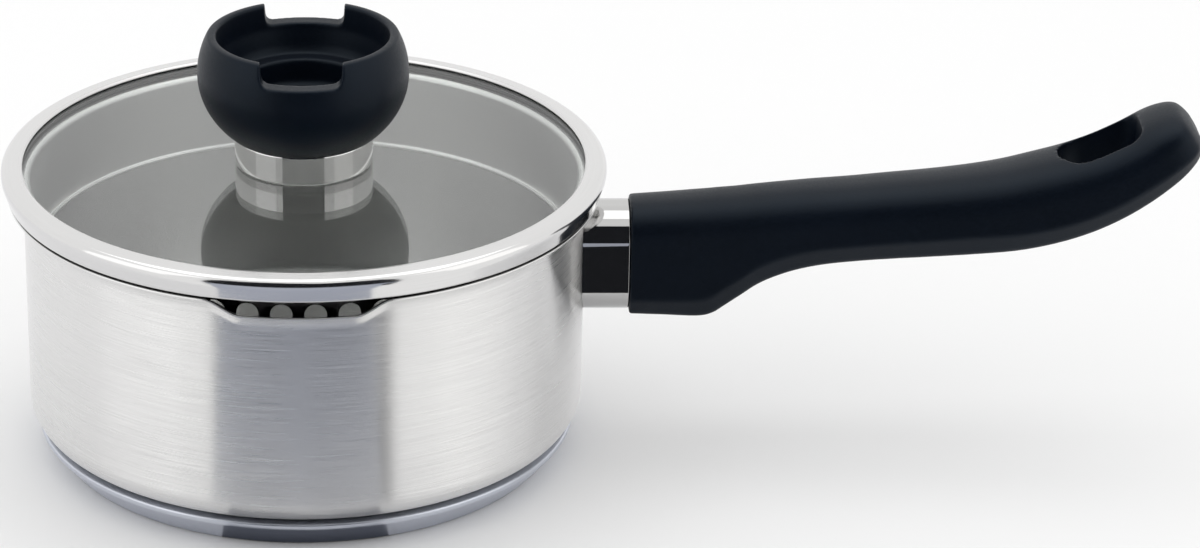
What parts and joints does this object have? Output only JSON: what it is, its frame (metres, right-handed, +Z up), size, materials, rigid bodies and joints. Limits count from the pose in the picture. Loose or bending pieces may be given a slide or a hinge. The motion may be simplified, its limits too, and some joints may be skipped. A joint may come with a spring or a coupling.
{
  "type": "saucepan with glass lid",
  "caption": "Stainless steel saucepan with pouring lips, black stick handle, and a flat glass lid with strainer skirt and a black bowl-shaped knob.",
  "frame": {"origin": "centre of the base, on the surface the pot stands on", "axes": "+Z up along the pot axis, +X from the pot axis towards the tip of the handle, pouring lips at -Y and +Y"},
  "size_m": [0.3445, 0.1744, 0.1258],
  "materials": {
    "brushed_steel": "satin stainless steel, brushed round the pot",
    "base_steel": "turned stainless steel, fine concentric grooves",
    "rim_steel": "polished stainless steel outside, satin top and skirt",
    "polished_steel": "mirror polished stainless steel",
    "fastener_steel": "plain steel, lightly tumbled",
    "core_aluminium": "rolled aluminium",
    "black_phenolic": "moulded phenolic, fine matt grain",
    "lid_glass": "clear toughened glass, faint green edge",
    "grey_silicone": "dark grey silicone",
    "brass": "plain turned brass"
  },
  "bodies": {
    "pot": {"pot_shell": "brushed_steel", "base_core": "core_aluminium", "base_cap": "base_steel", "handle_bracket": "fastener_steel", "ferrule": "polished_steel", "handle": "black_phenolic", "handle_screw": "fastener_steel"},
    "lid_lift": {"knob_screw": "fastener_steel"},
    "lid": {"lid_rim": "rim_steel", "lid_glass": "lid_glass", "glass_seal": "grey_silicone", "upper_washer": "grey_silicone", "lower_washer": "grey_silicone", "cup_washer": "fastener_steel", "knob_collar": "polished_steel", "knob": "black_phenolic", "knob_insert": "brass"}
  },
  "joints": [
    {"name": "lid_lift", "type": "slide", "parent": "pot", "child": "lid_lift", "axis": [0, 0, 1], "range_m": [0, 0.15]},
    {"name": "lid_turn", "type": "hinge", "parent": "lid_lift", "child": "lid", "pos_m": [0, 0, 0.085], "axis": [0, 0, 1], "continuous": true}
  ]
}
